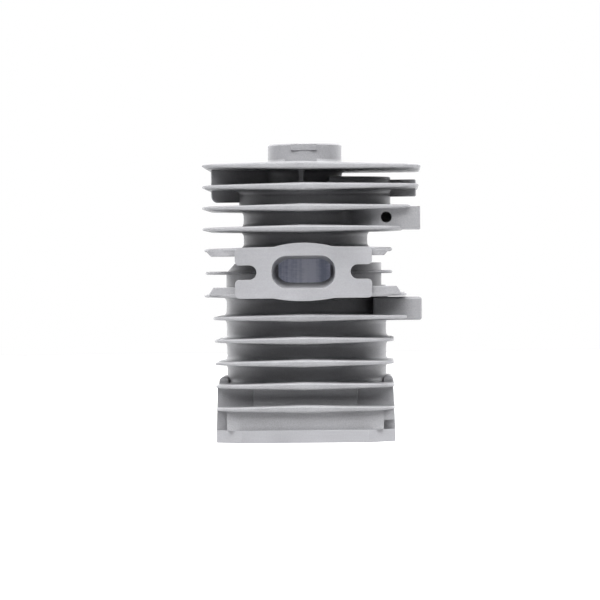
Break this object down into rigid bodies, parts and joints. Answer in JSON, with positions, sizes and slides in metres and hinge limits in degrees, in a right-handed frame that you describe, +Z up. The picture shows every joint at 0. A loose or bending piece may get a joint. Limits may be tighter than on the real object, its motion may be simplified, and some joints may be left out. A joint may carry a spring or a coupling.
{
  "type": "engine cylinder",
  "caption": "Air-cooled two-stroke engine cylinder with integral head, plated bore, horizontal cooling fins, side exhaust and intake flanges, spark plug boss and bolted base.",
  "frame": {"origin": "on the bore's axis, in the plane of the base flange's underside", "axes": "+Z up the bore axis towards the spark plug seat, -Y towards the exhaust face, +Y towards the intake face, +X towards the two side bosses"},
  "size_m": [0.1005, 0.092, 0.138],
  "materials": {
    "cast_body": "matte blasted die casting",
    "cast_fins": "matte blasted die casting",
    "milled_faces": "fine matte",
    "bore_plating": "honed satin"
  },
  "bodies": {
    "root": {"bore_plating": "bore_plating", "barrel_wall": "cast_body", "head_dome": "cast_body", "spark_plug_boss": "cast_body", "left_head_web": "cast_body", "right_head_web": "cast_body", "centre_rib": "cast_body", "upper_side_boss": "cast_body", "lower_side_boss": "cast_body", "exhaust_duct": "cast_body", "exhaust_flange": "milled_faces", "intake_duct": "cast_body", "intake_flange": "milled_faces", "left_transfer_case": "cast_body", "right_transfer_case": "cast_body", "left_base_column": "cast_body", "right_base_column": "cast_body", "base_flange": "milled_faces", "base_front_panel": "cast_body", "lower_front_panel": "cast_body", "left_upper_lip": "cast_body", "right_upper_lip": "cast_body", "left_lower_lip": "cast_body", "right_lower_lip": "cast_body", "fin_01": "cast_fins", "fin_02": "cast_fins", "fin_03": "cast_fins", "fin_04": "cast_fins", "fin_05": "cast_fins", "fin_06": "cast_fins", "fin_07": "cast_fins", "fin_08": "cast_fins", "fin_09": "cast_fins", "fin_10": "cast_fins", "fin_11": "cast_fins", "fin_12": "cast_fins"}
  },
  "joints": []
}
